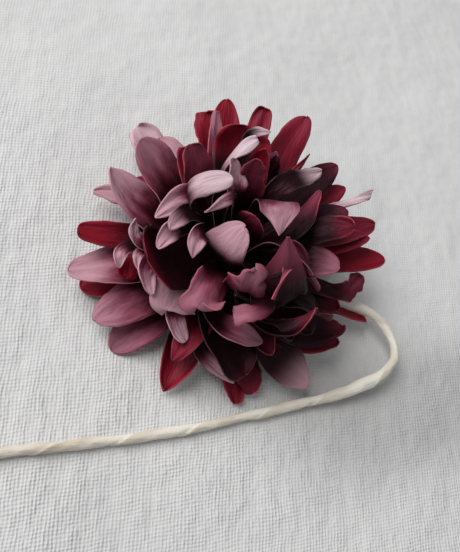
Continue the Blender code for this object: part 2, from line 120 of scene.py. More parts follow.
# Each round from the flat skirt up to the crown. A petal's plain numbers are its azimuth, reach,
# rise, end_lift and width
ROUNDS = (
    (
        petal(-164.3, 38.6, 1, -20, 11, cup=12, tone=-0.8),
        petal(-136, 39, 0.6, -18, 11.5, cup=18, tone=0.52, painted_shade_reach=0.5),
        petal(-80.5, 39.5, 1, -16, 9.5, twist=-10, cup=30, tone=-0.6, painted_shade_reach=0.5, frill=0.7),
        petal(-13, 50, 5, -5, 9, twist=-35, tone=-0.9),
        petal(14, 42, 3, -14, 11, cup=12),
        petal(42, 41, 0.6, -18, 11, cup=12),
        petal(72, 41, 0.6, -18, 11, cup=12),
        petal(100, 41, 2, -16, 11, cup=12),
        petal(122.6, 46, 9, 0, 14, cup=12, tone=1.3, ragged=0.03, frill=1.2),
        petal(155.1, 39.5, 6, -5, 7.5, yaw=25, lean=-5, push=0.5, pull=0.5, cup=12, tone=0.95,
              ragged=0.08, frill=0.7),
    ),
    (
        petal(-148, 40, 5, -12, 11.8, cup=18, tone=0.66, painted_shade_reach=0.5),
        petal(-111, 40, 2, -12, 12.5, cup=55, tone=-1, painted_shade_reach=0.66, tip=1.7, frill=0.9),
        petal(-73.5, 38, 3.5, -10, 8, twist=10, cup=20, tone=-0.5, painted_shade_reach=0.75, tip=3, ragged=0.08,
              frill=0.8),
        petal(-28.8, 41.6, 8, 0, 8, yaw=42, lean=-28, push=0.5, pull=0.5, cup=12, tone=-0.6,
              painted_shade_reach=0.5, ragged=0.04),
        petal(28, 43, 12, 0, 11, cup=12),
        petal(56, 43, 12, 0, 11, cup=12),
        petal(86, 43, 13, 0, 11, cup=12),
        petal(122, 37.5, 16, 10, 12, cup=12, tone=1, tip=3, ragged=0.03, frill=1.2),
        petal(139, 33, 8, 0, 11, cup=12),
    ),
    (
        petal(-167, 43, 8, -5, 11.5, twist=5, cup=12, tone=0.86),
        petal(-114.7, 35, 11, -10, 9, yaw=-9, lean=6, twist=20, tone=-0.5, tip=1.7),
        petal(-51, 42.8, 6, -5, 13, yaw=24, twist=10, lean=-12, cup=25, tone=0.98, painted_shade_reach=0.74,
              tip=2, ragged=0.03),
        petal(-17, 38, 10, 5, 9, twist=25, cup=12, tone=-0.6, painted_shade_reach=0.8, ragged=0.06, frill=1),
        petal(40, 40, 17, 10, 11, cup=12),
        petal(90.6, 47.8, 19, 15, 11, cup=12, tone=-0.9, painted_shade_reach=0.5, tip=2),
        petal(154.5, 38.3, 19, 10, 12.6, yaw=-22, twist=5, lean=12, cup=14, tone=1, painted_shade_reach=0.3,
              tip=2.2, frill=0.5),
    ),
    (
        petal(-113.4, 29.5, 13, -12, 5.2, yaw=62, lean=-16, lift=12, push=0.9, pull=0.4, cup=20,
              tone=1, painted_shade_reach=0.46, tip=3, shoulder=0.75),
        petal(-79.5, 34, 9, -10, 17, yaw=38, twist=-15, lean=-25, push=0.5, cup=35, tone=0,
              painted_shade_reach=0.88, tip=2.2, frill=0.9),
        petal(-83.5, 35, 6.5, -5, 4.2, yaw=50, lean=-24, lift=5, push=0.9, pull=0.5, cup=12,
              tone=0.85, painted_shade_reach=0.6, tip=2),
        petal(4, 49, 18, 10, 10, cup=12, tone=-0.9, painted_shade_reach=0.5),
        petal(53, 40, 22, 20, 4, cup=12, tone=-0.4, tip=1.2),
        petal(100, 42, 19, 20, 8, cup=28, tone=-0.8, tip=6, ragged=0.08, frill=1),
        petal(140, 36.6, 24, 30, 14.4, twist=10, cup=18, tone=0.62, painted_shade_reach=0.5, tip=2.6, frill=0.6),
        petal(180, 41, 13, 0, 7, twist=-15, cup=18, tone=-1, painted_shade_reach=0.62, tip=3.6),
    ),
    (
        petal(-160.9, 32.1, 16, -25, 3.6, yaw=85, lean=-11, lift=15, push=0.95, pull=0.25, cup=15,
              tone=1, painted_shade_reach=0.52, tip=1.5, shoulder=0.8),
        petal(-157.6, 30.2, 13, 0, 6, yaw=60, lean=-16, lift=5, push=0.9, pull=0.3, cup=10,
              tone=-1, painted_shade_reach=0.2, tip=5, shoulder=0.8),
        petal(-73.8, 27.9, 17, -5, 8.6, yaw=61, lean=-38, lift=20, push=0.9, pull=0.6, cup=26,
              tone=0.6, painted_shade_reach=0.56, tip=1.8, shoulder=0.7, ragged=0.03),
        petal(-66, 31, 13, 0, 9, yaw=10, twist=25, tone=-0.6, painted_shade_reach=0.8, tip=1.7, frill=1.2),
        petal(-27, 39.1, 13, 5, 9.5, yaw=45, lean=-30, lift=0, push=0.5, pull=0.5, cup=12,
              tone=-0.2, painted_shade_reach=0.85, tip=2.8, ragged=0.05, frill=0.9),
        petal(10, 42, 22, 18, 8, cup=12, tone=-0.4),
        petal(78, 44.5, 24, 25, 6.6, cup=12, tone=-0.6, painted_shade_reach=0.62, tip=4.5, frill=0.8),
        petal(99, 39, 24, 35, 6.5, cup=30, tone=0.55, painted_shade_reach=0.5, tip=1.6, ragged=0.05, frill=0.8),
    ),
    (
        petal(-155.3, 29.5, 20, -25, 3.2, yaw=75, lean=-10, lift=22, push=0.95, pull=0.25, cup=15,
              tone=1, painted_shade_reach=0.52, tip=1.4, shoulder=0.8),
        petal(-130.5, 26.6, 21, 20, 13, yaw=24, lift=15, cup=10, tone=0.9, painted_shade_reach=0.45, tip=4.5,
              shoulder=0.7, ragged=0.05, hook=-3, frill=1.8),
        petal(-101, 24.5, 28, -30, 8, yaw=-75, lean=28, lift=45, push=0.85, pull=0.4, cup=-36,
              tone=0.5, painted_shade_reach=0.64, tip=10, shoulder=0.9, ragged=0.06, frill=0.9),
        petal(-45, 32, 17, 5, 10, yaw=-15, twist=30, tone=-0.6, painted_shade_reach=0.95, ragged=0.05, frill=1.2),
        petal(-1.5, 42, 14, 10, 6, yaw=60, lean=-14, lift=10, push=0.9, pull=0.3, cup=20,
              tone=0.15, painted_shade_reach=0.4, tip=4, ragged=0.14, frill=1.2),
        petal(23.1, 43.1, 27, 0, 3.4, yaw=-7, twist=-25, cup=12, tone=1.7, hook=1.5, frill=1),
        petal(61.9, 53.4, 20, 18, 10, cup=12, tone=-0.45, painted_shade_reach=0.42, tip=2.6, ragged=0.02,
              frill=0.8),
        petal(124, 28.8, 24, 40, 8, cup=12, tone=-0.3),
        petal(-179.3, 29.2, 24, 10, 5, yaw=-86, lean=14, lift=25, push=0.95, pull=0.28, cup=15,
              tone=1, painted_shade_reach=0.48, tip=1.5, shoulder=0.75),
    ),
    (
        petal(-141.2, 29.3, 20, -15, 5.8, yaw=80, lean=-15, lift=20, push=0.9, pull=0.4, cup=15,
              tone=0.9, painted_shade_reach=0.46, tip=1.4, shoulder=0.72),
        petal(-120, 26.4, 29, 8, 10, lift=60, pull=0.35, cup=-22, tone=0.5, painted_shade_reach=0.54, tip=4,
              shoulder=0.8, ragged=0.07, hook=-3, frill=2.2),
        petal(-58, 30, 19, 15, 11, yaw=15, twist=-15, tone=-0.6, painted_shade_reach=0.95, frill=1.2),
        petal(-36, 33, 22, 20, 10.5, yaw=20, twist=-30, tone=-0.5, painted_shade_reach=0.85, ragged=0.04,
              frill=1.3),
        petal(15, 45, 23, 16, 9.5, cup=12, tone=-0.2),
        petal(70, 24, 32, 60, 7, tone=0.25, painted_shade_reach=0.85, ragged=0.12, frill=1.3),
        petal(90, 31, 30, 35, 17, tone=-0.85, painted_shade_reach=0.66, tip=2.8, shoulder=0.8, ragged=0.03,
              frill=1.2),
        petal(126, 27, 29, 45, 11, cup=18, tone=0.25, painted_shade_reach=0.4, tip=2.8),
    ),
    (
        petal(-158, 26, 28, -35, 5, yaw=44, lean=-14, lift=55, push=0.8, pull=0.36, cup=15, tone=1,
              painted_shade_reach=0.64, tip=1.6, shoulder=0.78),
        petal(-154.6, 28.9, 26.5, 42, 19, lift=34, cup=15, tone=-0.4, painted_shade_reach=0.84, tip=3.5,
              shoulder=0.7, frill=0.6),
        petal(-95.5, 19, 35, 95, 9.8, lift=20, tone=0.5, painted_shade_reach=0.54, tip=3, shoulder=0.7,
              ragged=0.16, hook=5, frill=1.5),
        petal(-30.6, 25.4, 24, -44, 3.4, yaw=15, lean=-20, lift=85, push=1.25, pull=0.86, cup=40,
              tone=0.5, tip=1.5, frill=1.1),
        petal(33, 41, 23, 20, 8, cup=12, tone=-0.5, painted_shade_reach=0.5, ragged=0.03),
        petal(77, 30.2, 31.5, 10, 3.4, yaw=-75, lean=9, lift=28, push=0.95, pull=0.3, tone=1.5,
              painted_shade_reach=0.68, tip=1.7),
        petal(-173.3, 26, 31, -25, 7.5, yaw=36, lean=-18, lift=60, push=0.8, pull=0.5, cup=15,
              tone=1, painted_shade_reach=0.52, tip=1.4, shoulder=0.72),
    ),
    (
        petal(-164, 23.4, 32.5, -20, 4.6, yaw=48, lean=-14, lift=60, push=0.8, pull=0.34, cup=20,
              tone=1, painted_shade_reach=0.74, tip=1.8, shoulder=0.8),
        petal(-46.5, 27.4, 28, 40, 7, yaw=115, lean=-40, lift=10, push=0.95, pull=0.4, cup=60,
              tone=0.1, painted_shade_reach=0.7, tip=2),
        petal(-24, 25.5, 33, 15, 10, lift=45, cup=12, tone=0.5, painted_shade_reach=0.74, tip=2.8, frill=0.7),
        petal(18, 31.5, 30, 28, 10, cup=12, tone=-0.5, painted_shade_reach=0.85),
        petal(42, 41, 26, 27, 9.5, cup=12, tone=-0.1, painted_shade_reach=0.85),
        petal(89, 22.2, 36, 5, 5, yaw=-52, twist=80, lean=44, lift=55, push=0.7, pull=0.6, cup=15,
              tone=1.6, painted_shade_reach=0.5, tip=3, frill=0.8),
        petal(146, 11, 40.5, 12, 5.8, yaw=-134, twist=38, lean=32, lift=60, push=0.68, pull=0.8,
              cup=12, tone=1.45, painted_shade_reach=0.6, tip=2.8, shoulder=0.9),
    ),
    (
        petal(-143, 20.5, 31, -30, 5, yaw=56, lean=-19, lift=60, push=0.8, pull=0.38, cup=20,
              tone=1, painted_shade_reach=0.56, tip=1.6, shoulder=0.76),
        petal(6, 29, 34, 20, 9, lift=45, cup=12, tone=-0.1, painted_shade_reach=0.76, frill=0.7),
        petal(41.8, 27.1, 34, 10, 6, yaw=-19, twist=-25, lean=20, lift=65, push=0.8, pull=0.4,
              tone=1.4, painted_shade_reach=0.76, ragged=0.06, frill=0.9),
        petal(83, 20, 36, 60, 7, tone=-1, painted_shade_reach=0.6),
        petal(95, 15, 38, 50, 9, cup=20, tone=0.15, painted_shade_reach=0.5, tip=2.6, ragged=0.12, frill=0.6),
        petal(117, 15.1, 38, 15, 9, yaw=-22, lean=20, lift=75, push=0.85, pull=0.4, cup=15, tone=1,
              painted_shade_reach=0.4, tip=3.4, shoulder=0.85, ragged=0.06),
    ),
    (
        petal(-133, 13.5, 38, 95, 12.5, lift=25, cup=24, tone=1, painted_shade_reach=0.64, hook=6, frill=0.6),
        petal(-55.5, 9.4, 40, 135, 24, yaw=-12, twist=-55, lean=-16, lift=0, push=1.1, pull=0.9,
              cup=10, tone=0.34, painted_shade_reach=0.72, tip=1.2, crease=0.6, shoulder=0.45, frill=0.8),
        petal(32.3, 23.6, 33, 12, 9.5, yaw=26, lean=-57, lift=70, push=0.8, pull=0.62, cup=12,
              tone=0.2, painted_shade_reach=0.7, tip=1.7, frill=0.6),
        petal(-168, 16, 38, -15, 3.2, yaw=25, lean=-31, lift=78, push=0.9, pull=0.5, cup=12,
              tone=1, painted_shade_reach=0.55, tip=1.5, shoulder=0.75),
    ),
    (
        petal(-130, 4.5, 40, 80, 9, tone=0.1, painted_shade_reach=0.7),
        petal(-56, 7.3, 38, -40, 10.4, yaw=-25, twist=65, lean=110, lift=80, push=0.75, pull=0.68,
              cup=12, tone=0.85, painted_shade_reach=0.56, tip=1.1, shoulder=0.8),
        petal(-84, 23.1, 36, -30, 2, yaw=-22, lean=14, lift=25, push=0.9, pull=0.7, cup=15,
              tone=0.4, painted_shade_reach=0.62, tip=1.4),
    ),
)

# The stem's middle line from the binding outwards, with the wound tape's radius there
STEM_ROUTE = np.array([
    (0.0, 0.0, 4.9, 1.7), (0.1, 0.0, 4.2, 1.7), (0.9, -0.1, 3.0, 1.7), (2.4, -0.4, 2.3, 1.7),
    (4.5, -0.7, 2.2, 1.7), (9.0, -1.4, 2.5, 1.7), (20.0, -3.4, 3.0, 1.7), (32.0, -5.4, 4.0, 1.75),
    (41.9, -6.6, 5.0, 1.75), (47.1, -7.6, 5.2, 1.65), (51.5, -9.7, 5.5, 1.4),
    (55.0, -13.6, 5.8, 1.2), (57.1, -18.7, 5.8, 1.15), (56.4, -23.2, 5.4, 1.25),
    (52.3, -27.6, 4.8, 1.55), (46.7, -30.8, 4.0, 1.7), (38.5, -34.2, 3.0, 1.5),
    (25.9, -37.8, 2.2, 1.3), (16.5, -40.5, 1.8, 1.25), (4.7, -43.7, 1.5, 1.15),
    (-3.9, -46.1, 1.4, 1.15), (-17.5, -49.2, 1.4, 1.3), (-30.3, -51.5, 1.4, 1.2),
    (-42.4, -53.4, 1.4, 1.3), (-53.9, -55.4, 1.4, 1.3), (-66.0, -57.6, 1.4, 1.25),
    (-78.0, -60.0, 1.4, 1.3),
])
SPAN_STEPS = 14
TAPE_STEP = 0.45
TAPE_SIDES = 40
TAPE_FLOOR_GAP = 0.05
TAPE_SEED = 5

# The stem's closed ends: the tape starts at START_RADIUS, shows its laps where it is wider than
# OPEN_RADIUS, and is folded in over END_DEPTH at the cut end
START_RADIUS = 0.05
OPEN_RADIUS = 0.5
END_ROWS = 6
END_DEPTH = 1.1
END_OPENING = 0.04

# The share of a turn over which the tape climbs before it drops to the turn below
LAP_SHARE = 0.9

# The binding's wound outline under the lowest round: radius and height above the binding's foot
BINDING_PROFILE = np.array([
    (0.95, 0.0), (1.9, 0.0), (2.5, 0.25), (2.95, 0.65), (3.3, 1.05), (3.2, 1.4), (0.95, 1.42),
])
BINDING_ROWS = 40
BINDING_SIDES = 64

# Its turns of tape, which show as ridges only outside the last radius
BINDING_PITCH = 0.55
BINDING_RIDGE = 0.12
BINDING_BORE_SIDE = 1.6

# The linen floor, in metres and degrees: the headings that its two sets of threads are counted
# along, the one that its weave flattens towards, and where its band of painted shade, as of one
# shallow fold, lies
FLOOR_HALF = 2.0
WEAVE_HEADINGS = (-2.6, -79.8)
FLATTER_HEADING = 60.0
FOLD_SHADE_HEADING = 104.0
FOLD_SHADE_DISTANCE = 0.045

# The lights round the bloom's middle: name, azimuth, elevation, distance and size in metres, share
# of the key power, colour
BLOOM_MIDDLE = 22.0
SKY_COLOUR = (0.93, 0.96, 1.0, 1.0)
LIGHTS = (
    ("window", 152.0, 44.0, 1.6, 1.5, 1.0, (1.0, 1.0, 1.0)),
    ("fill", -60.0, 55.0, 1.6, 0.8, 0.03, (1.0, 0.98, 0.96)),
)

# The camera: its place from the bloom's foot, the heading that it looks along, how far it dips
# below the level and how far it is rolled about its own axis
CAMERA_PLACE = (-74.1, -93.8, 187.8)
CAMERA_HEADING = 49.12
CAMERA_DIP = 56.66
CAMERA_ROLL = 44.09
CAMERA_LENS = 50.0


# ---------------------------------------------------------------- properties


class CorsageCloth(bpy.types.PropertyGroup):
    thickness: FloatProperty(
        name="Thickness", description="Thickness of the stiffened cloth",
        default=0.00032, min=0.0001, max=0.001, subtype="DISTANCE", unit="LENGTH")
    rows: IntProperty(
        name="Rows", description="Points along each petal", default=34, min=8, max=80)
    columns: IntProperty(
        name="Columns", description="Points across each petal", default=15, min=5, max=41)
    # The root and middle colours are the dark dye deepened with painted shade; the root colour is also
    # the painted shade carried out along petals.
    root_colour: FloatVectorProperty(
        name="Root colour", description="Cloth near the hub",
        default=(0.010, 0.0015, 0.003), size=3, subtype="COLOR")
    middle_colour: FloatVectorProperty(
        name="Middle colour", description="Cloth halfway along a petal",
        default=(0.060, 0.0030, 0.009), size=3, subtype="COLOR")
    tip_colour: FloatVectorProperty(
        name="Tip colour", description="Cloth towards a petal's tip",
        default=(0.20, 0.016, 0.038), size=3, subtype="COLOR")
    red_colour: FloatVectorProperty(
        name="Red colour", description="Cloth of the reddest petals",
        default=(0.26, 0.004, 0.015), size=3, subtype="COLOR")
    # The blush and pale colours are partly the cloth's own paler tips and partly painted sheen.
    blush_colour: FloatVectorProperty(
        name="Blush colour", description="Cloth between a petal's own colour and its pale tip",
        default=(0.30, 0.075, 0.125), size=3, subtype="COLOR")
    pale_colour: FloatVectorProperty(
        name="Pale colour", description="Cloth of the palest petals",
        default=(0.66, 0.375, 0.44), size=3, subtype="COLOR")
    # A painted highlight, not a faded cloth: near-white towards the tips of a few petals.
    painted_highlight_colour: FloatVectorProperty(
        name="Painted highlight colour", description="Painted near-white highlight towards the tips of a few petals",
        default=(0.86, 0.76, 0.80), size=3, subtype="COLOR")
    edge_colour: FloatVectorProperty(
        name="Edge colour", description="The cut edge of the cloth",
        default=(0.55, 0.045, 0.08), size=3, subtype="COLOR")


class CorsageStem(bpy.types.PropertyGroup):
    wrap_pitch: FloatProperty(
        name="Wrap pitch", description="Distance along the stem from one turn of tape to the next",
        default=0.0195, min=0.004, max=0.05, subtype="DISTANCE", unit="LENGTH")
    wrap_step: FloatProperty(
        name="Wrap step", description="How far the tape's edge stands over the turn below it",
        default=0.00028, min=0.0, max=0.001, subtype="DISTANCE", unit="LENGTH")
    tape_colour: FloatVectorProperty(
        name="Tape colour", description="The ivory tape",
        default=(0.93, 0.88, 0.77), size=3, subtype="COLOR")
    # Painted shade along the tape's lapping edges and creases, and its stains.
    shade_and_stain_colour: FloatVectorProperty(
        name="Shade colour", description="The tape along its edges and creases",
        default=(0.50, 0.40, 0.27), size=3, subtype="COLOR")


class CorsageStudio(bpy.types.PropertyGroup):
    floor_colour: FloatVectorProperty(
        name="Floor colour", description="The pale linen floor",
        default=(0.668, 0.660, 0.653), size=3, subtype="COLOR")
    thread_pitch: FloatProperty(
        name="Thread pitch", description="Distance from one thread of the linen to the next",
        default=0.00092, min=0.0003, max=0.01, subtype="DISTANCE", unit="LENGTH")
    key_power: FloatProperty(
        name="Key power", description="Power of the large soft window light",
        default=29.0, min=0.0, max=500.0, unit="POWER")
    sky_strength: FloatProperty(
        name="Sky strength", description="Strength of the even light from all round",
        default=0.25, min=0.0, max=5.0)


# ---------------------------------------------------------------- shader maths


class Value:
    """An output socket, with the operators that build Math and Vector Math nodes."""

    def __init__(self, graph, socket):
        self.graph = graph
        self.socket = socket

    def _math(self, operation, *terms):
        return self.graph.node("ShaderNodeMath", {"operation": operation}, dict(enumerate(terms)))

    def __add__(self, other):
        return self._math("ADD", self, other)

    __radd__ = __add__

    def __sub__(self, other):
        return self._math("SUBTRACT", self, other)

    def __rsub__(self, other):
        return self._math("SUBTRACT", other, self)

    def __mul__(self, other):
        return self._math("MULTIPLY", self, other)

    def __abs__(self):
        return self._math("ABSOLUTE", self)

    def cosine(self):
        return self._math("COSINE", self)

    def clamped(self):
        return self.graph.node("ShaderNodeClamp", {}, {"Value": self})

    def over(self, low, high):
        """0 at low, 1 at high and smooth between them. low may be the larger of the two."""
        settings = {"interpolation_type": "SMOOTHSTEP"}
        return self.graph.node("ShaderNodeMapRange", settings,
                               {"Value": self, "From Min": low, "From Max": high})


class Graph:
    """A material's node tree. node() makes any node and gives back its chosen output."""

    def __init__(self, name):
        self.material = bpy.data.materials.new(name)
        self.material.use_nodes = True
        self.tree = self.material.node_tree
        self.tree.nodes.clear()

    def node(self, kind, settings, inputs, output=0):
        made = self.tree.nodes.new(kind)
        for key, value in settings.items():
            setattr(made, key, value)
        for key, value in inputs.items():
            socket = made.inputs[key]
            if isinstance(value, Value):
                self.tree.links.new(value.socket, socket)
            else:
                socket.default_value = value
        return Value(self, made.outputs[output])

    def mix(self, factor, first, second, blend="MIX"):
        """Blend two colours, each a link or a plain (r, g, b)."""
        first, second = (c if isinstance(c, Value) else (*c, 1.0) for c in (first, second))
        return self.node("ShaderNodeMix", {"data_type": "RGBA", "blend_type": blend},
                         {0: factor, 6: first, 7: second}, 2)

    def noise(self, place, scale, detail, roughness=0.55):
        inputs = {"Vector": place, "Scale": scale, "Detail": detail, "Roughness": roughness}
        return self.node("ShaderNodeTexNoise", {}, inputs)

    def on_object(self):
        """The point's place on its object, in metres."""
        return self.node("ShaderNodeTexCoord", {}, {}, "Object")

    def coordinate(self, place, axis):
        return self.node("ShaderNodeSeparateXYZ", {}, {0: place}, axis)

    def stretched(self, place, factors):
        return self.node("ShaderNodeVectorMath", {"operation": "MULTIPLY"}, {0: place, 1: factors})

    def grey(self, level):
        return self.node("ShaderNodeCombineColor", {}, {0: level, 1: level, 2: level})

    def attribute(self, name):
        return self.node("ShaderNodeAttribute", {"attribute_name": name}, {}, "Fac")

    def bump(self, height, distance, strength, below=None):
        inputs = {"Height": height, "Distance": distance, "Strength": strength}
        if below is not None:
            inputs["Normal"] = below
        return self.node("ShaderNodeBump", {}, inputs)

    def distance(self, place, way):
        """How far place is along way, as a number."""
        return self.node("ShaderNodeVectorMath", {"operation": "DOT_PRODUCT"},
                         {0: place, 1: tuple(way)}, "Value")

    def finish(self, shader):
        out = self.tree.nodes.new("ShaderNodeOutputMaterial")
        self.tree.links.new(shader.socket, out.inputs["Surface"])
        return self.material


# ---------------------------------------------------------------- materials


def petal_cloth(cloth):
    """Burgundy cloth, darkest at the hub and pinker towards the tip, the dark partly its dye and
    partly painted shade, with pale tips that are partly its own colour and partly painted sheen.

    The petal's own map runs across it (x) and along it (y). tone, the reach of the painted shade and
    seed differ by petal.
    """
    g = Graph("petal_cloth")
    uv = g.node("ShaderNodeUVMap", {"uv_map": "petal"}, {})
    across = g.coordinate(uv, 0)
    along = g.coordinate(uv, 1)
    tone = g.attribute("tone")
    seed = g.attribute("seed")
    offset = g.node("ShaderNodeCombineXYZ", {},
                    {"X": seed * 37.0, "Y": seed * 91.0, "Z": seed * 53.0})
    place = g.node("ShaderNodeVectorMath", {"operation": "ADD"}, {0: uv, 1: offset})
    drawn_out = g.stretched(place, (1.0, 0.16, 1.0))
    blotch = g.noise(place, 3.2, 4.0)
    streak = g.noise(drawn_out, 14.0, 3.0)

    painted_shade_reach = g.attribute("painted_shade_reach")
    # Darker from tip to hub: partly the cloth's dye and partly painted shade deep in the bloom.
    root_to_middle = g.mix((along + blotch * 0.16).over(0.40, 0.80), cloth.root_colour,
                           cloth.middle_colour)
    dyed_and_shaded = g.mix((along + blotch * 0.30).over(0.66, 1.15), root_to_middle, cloth.tip_colour)
    redness = (tone * -1.0).clamped()
    paleness = tone.clamped()
    reddened = g.mix(redness * along.over(0.35, 0.85) * 0.9, dyed_and_shaded, cloth.red_colour)
    # Paler towards the tip: partly the cloth's own paler colour and partly painted sheen where the
    # petal faces the window.
    tip_pale_and_sheen = (along + blotch * 0.40 - 0.2).over(0.48, 0.95)
    colour_shift = tip_pale_and_sheen * (paleness * 0.92 + 0.04)
    blushed = g.mix(colour_shift.over(0.0, 0.55), reddened, cloth.blush_colour)
    paled_and_sheened = g.mix(colour_shift.over(0.30, 1.0), blushed, cloth.pale_colour)
    # Painted near-white highlight towards the tips of the petals whose tone is over 1.
    painted_highlighted = g.mix((tone - 1.0).clamped() * tip_pale_and_sheen, paled_and_sheened, cloth.painted_highlight_colour)
    rim = abs(across - 0.5).over(0.40, 0.5)
    edged = g.mix(rim * along.over(0.35, 0.9) * (0.38 - paleness * 0.30), painted_highlighted,
                  cloth.edge_colour)
    # Painted shade: the hub's dark colour carried out along each petal as far as its shade reach,
    # where it lies in the bloom's shade.
    painted_shade_mask = (painted_shade_reach * PAINTED_SHADE_STRETCH - along + blotch * 0.08).over(-0.06, 0.26)
    painted_shaded = g.mix(painted_shade_mask, edged, cloth.root_colour)
    # Random mottling, darkest where the blotch noise is low, which is also where the crumple bump
    # dips: partly painted shade in the folds.
    depth = streak * 0.28 + blotch * 0.70 + 0.52
    colour = g.mix(1.0, painted_shaded, g.grey(depth), "MULTIPLY")

    cells = g.on_object()
    weave = g.node("ShaderNodeTexVoronoi", {}, {"Vector": cells, "Scale": 3200.0})
    grain = g.bump(weave, 0.00006, 0.35)
    veins = g.bump(streak, 0.0004, 0.18, grain)
    crumple = g.bump(blotch, 0.0020, 0.45, veins)
    roughness = 0.40 + blotch * 0.16
    shader = g.node("ShaderNodeBsdfPrincipled", {}, {
        "Base Color": colour, "Roughness": roughness, "Normal": crumple,
        "Specular IOR Level": 0.32, "Specular Tint": (1.0, 0.52, 0.64, 1.0),
    })
    glow = g.node("ShaderNodeBsdfTranslucent", {}, {"Color": (0.30, 0.012, 0.030, 1.0)})
    return g.finish(g.node("ShaderNodeMixShader", {}, {0: 0.20, 1: shader, 2: glow}))


def cut_edge(cloth):
    """The thin cut edge of the cloth, redder and rougher than its face, pale on pale petals and
    darkened with painted shade as the face is.
    """
    g = Graph("cut_edge")
    uv = g.node("ShaderNodeUVMap", {"uv_map": "petal"}, {})
    along = g.coordinate(uv, 1)
    place = g.on_object()
    fray = g.noise(place, 900.0, 4.0)
    colour_shift = g.noise(place, 120.0, 2.0)
    cut = g.mix((fray * 0.5 + colour_shift).over(0.55, 0.95), cloth.middle_colour, cloth.edge_colour)
    # Pale on pale petals, like the face: partly the cloth's own colour and partly painted sheen.
    paler = g.mix(g.attribute("tone").over(0.2, 1.0) * 0.75, cut, cloth.pale_colour)
    # Painted shade: the hub's dark colour carried along the edge as far as on the face.
    painted_shade_mask = (g.attribute("painted_shade_reach") * PAINTED_SHADE_STRETCH - along).over(0.0, 0.22)
    colour = g.mix(painted_shade_mask * 0.95, paler, cloth.root_colour)
    nap = g.bump(fray, 0.0003, 0.6)
    shader = g.node("ShaderNodeBsdfPrincipled", {}, {
        "Base Color": colour, "Roughness": 0.8, "Normal": nap, "Sheen Weight": 0.15,
    })
    return g.finish(shader)


def stem_tape(stem):
    """Creped ivory tape, finely creased and stained, with painted shade where one turn laps the last
    and in its creases, and darker from 8 cm out along the stem so that the part nearer the bloom, in
    the bloom's shadow, is painted lighter.

    The tape's own map runs round the stem (x) and along it (y, in metres); lap is 1 at the edge.
    """
    g = Graph("stem_tape")
    uv = g.node("ShaderNodeUVMap", {"uv_map": "tape"}, {})
    lap = g.attribute("lap")
    place = g.on_object()
    creases = g.noise(g.stretched(uv, (9.0, 260.0, 1.0)), 1.0, 5.0, 0.6)
    stain = g.noise(place, 70.0, 3.0)
    fibre = g.noise(place, 1500.0, 4.0)
    # Painted light: the tape keeps its full pale colour near the bloom, where it lies in the bloom's
    # shadow, and darkens from 8 to 22 cm out.
    painted_light_falloff = g.coordinate(uv, 1).over(0.08, 0.22)
    # Painted shade at the lapping edge of each turn and in the creases, the tape's real stains, and
    # the darkening further out.
    colour_shift = (lap.over(0.55, 1.0) * 0.35 + creases.over(0.55, 0.85) * 0.30 + stain.over(0.5, 0.8) * 0.45
            + painted_light_falloff * 0.40)
    colour = g.mix(colour_shift.clamped(), stem.tape_colour, stem.shade_and_stain_colour)
    lumps = g.bump(stain, 0.0015, 0.25)
    crimp = g.bump(creases, 0.00045, 0.55, lumps)
    nap = g.bump(fibre, 0.00008, 0.35, crimp)
    shader = g.node("ShaderNodeBsdfPrincipled", {}, {
        "Base Color": colour, "Roughness": 0.72 + fibre * 0.15, "Normal": nap,
        "Sheen Weight": 0.2, "Subsurface Weight": 0.08,
        "Subsurface Radius": (0.0008, 0.0006, 0.0004), "Subsurface Scale": 1.0,
    })
    return g.finish(shader)


def wire_steel():
    """Drawn wire, finely scratched and a little dulled."""
    g = Graph("wire_steel")
    place = g.on_object()
    scratch = g.noise(place, 1800.0, 3.0)
    dull = g.noise(place, 160.0, 2.0)
    colour = g.mix(dull, (0.46, 0.45, 0.44), (0.60, 0.59, 0.58))
    shader = g.node("ShaderNodeBsdfPrincipled", {}, {
        "Base Color": colour, "Metallic": 1.0, "Roughness": 0.28 + scratch * 0.25,
        "Normal": g.bump(scratch, 0.00005, 0.4),
    })
    return g.finish(shader)


